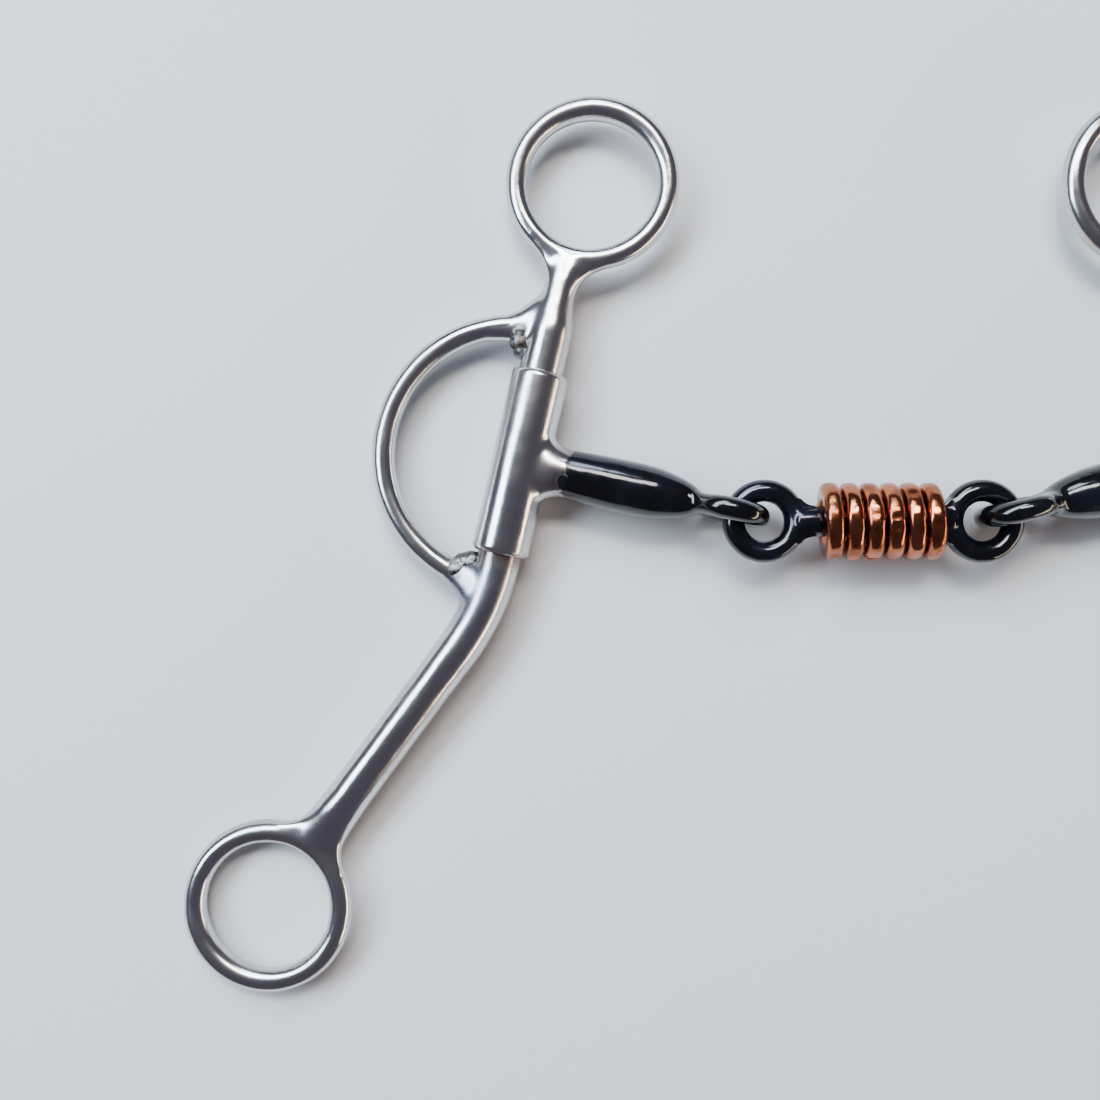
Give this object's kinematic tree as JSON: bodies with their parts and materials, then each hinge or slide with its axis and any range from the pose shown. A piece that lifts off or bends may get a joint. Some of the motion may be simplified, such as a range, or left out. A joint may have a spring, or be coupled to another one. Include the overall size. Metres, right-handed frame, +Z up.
{
  "type": "snaffle bit",
  "caption": "Loose-cheek lever snaffle bit: jointed iron mouthpiece with copper rollers on a dog-bone link, turning steel sleeves and cheeks with a rein bow, headstall and rein rings.",
  "frame": {"origin": "on the surface that the bit lies on, under the middle of its bounding box; the centre link is centred on X = 0", "axes": "+X along the centre link, to the right cheek; +Y towards the headstall rings; +Z up from the surface it lies on"},
  "size_m": [0.2676, 0.174, 0.0161],
  "materials": {
    "polished_steel": "polished",
    "weld_steel": "satin",
    "blued_iron": "gloss",
    "copper": "satin"
  },
  "bodies": {
    "link": {"center_link": "blued_iron"},
    "left_arm": {"left_sleeve": "polished_steel", "left_cannon": "blued_iron"},
    "left_cheek": {"left_shank": "polished_steel", "left_headstall_ring": "polished_steel", "left_rein_ring": "polished_steel", "left_bow": "polished_steel", "left_upper_bow_weld": "weld_steel", "left_lower_bow_weld": "weld_steel"},
    "right_arm": {"right_sleeve": "polished_steel", "right_cannon": "blued_iron"},
    "right_cheek": {"right_shank": "polished_steel", "right_headstall_ring": "polished_steel", "right_rein_ring": "polished_steel", "right_bow": "polished_steel", "right_upper_bow_weld": "weld_steel", "right_lower_bow_weld": "weld_steel"},
    "copper_1": {"copper_ring_1": "copper"},
    "copper_2": {"copper_ring_2": "copper"},
    "copper_3": {"copper_ring_3": "copper"},
    "copper_4": {"copper_ring_4": "copper"},
    "copper_5": {"copper_ring_5": "copper"},
    "copper_6": {"copper_ring_6": "copper"}
  },
  "joints": [
    {"name": "left_cannon_swing", "type": "hinge", "parent": "link", "child": "left_arm", "pos_m": [-0.02765, 0.00677, 0.00805], "axis": [0.2215, 0.9751, 0], "range_deg": [-125, 125]},
    {"name": "left_cheek_swing", "type": "hinge", "parent": "left_arm", "child": "left_cheek", "pos_m": [-0.06775, 0.01588, 0.0056], "axis": [-0.2215, -0.9751, 0], "range_deg": [-160, 160]},
    {"name": "right_cannon_swing", "type": "hinge", "parent": "link", "child": "right_arm", "pos_m": [0.02765, 0.00677, 0.00805], "axis": [-0.2215, 0.9751, 0], "range_deg": [-125, 125]},
    {"name": "right_cheek_swing", "type": "hinge", "parent": "right_arm", "child": "right_cheek", "pos_m": [0.06775, 0.01588, 0.0056], "axis": [0.2215, -0.9751, 0], "range_deg": [-160, 160]},
    {"name": "copper_ring_1_spin", "type": "hinge", "parent": "link", "child": "copper_1", "pos_m": [-0.00805, 0.00463, 0.00742], "axis": [0.9921, 0.0694, 0.1045], "continuous": true},
    {"name": "copper_ring_2_spin", "type": "hinge", "parent": "link", "child": "copper_2", "pos_m": [-0.00423, 0.00463, 0.00742], "axis": [0.9921, 0.0694, 0.1045], "continuous": true},
    {"name": "copper_ring_3_spin", "type": "hinge", "parent": "link", "child": "copper_3", "pos_m": [-0.00041, 0.00463, 0.00742], "axis": [0.9921, 0.0694, 0.1045], "continuous": true},
    {"name": "copper_ring_4_spin", "type": "hinge", "parent": "link", "child": "copper_4", "pos_m": [0.00341, 0.00463, 0.00742], "axis": [0.9921, 0.0694, 0.1045], "continuous": true},
    {"name": "copper_ring_5_spin", "type": "hinge", "parent": "link", "child": "copper_5", "pos_m": [0.00723, 0.00463, 0.00742], "axis": [0.9921, 0.0694, 0.1045], "continuous": true},
    {"name": "copper_ring_6_spin", "type": "hinge", "parent": "link", "child": "copper_6", "pos_m": [0.01105, 0.00463, 0.00742], "axis": [0.9921, 0.0694, 0.1045], "continuous": true}
  ]
}
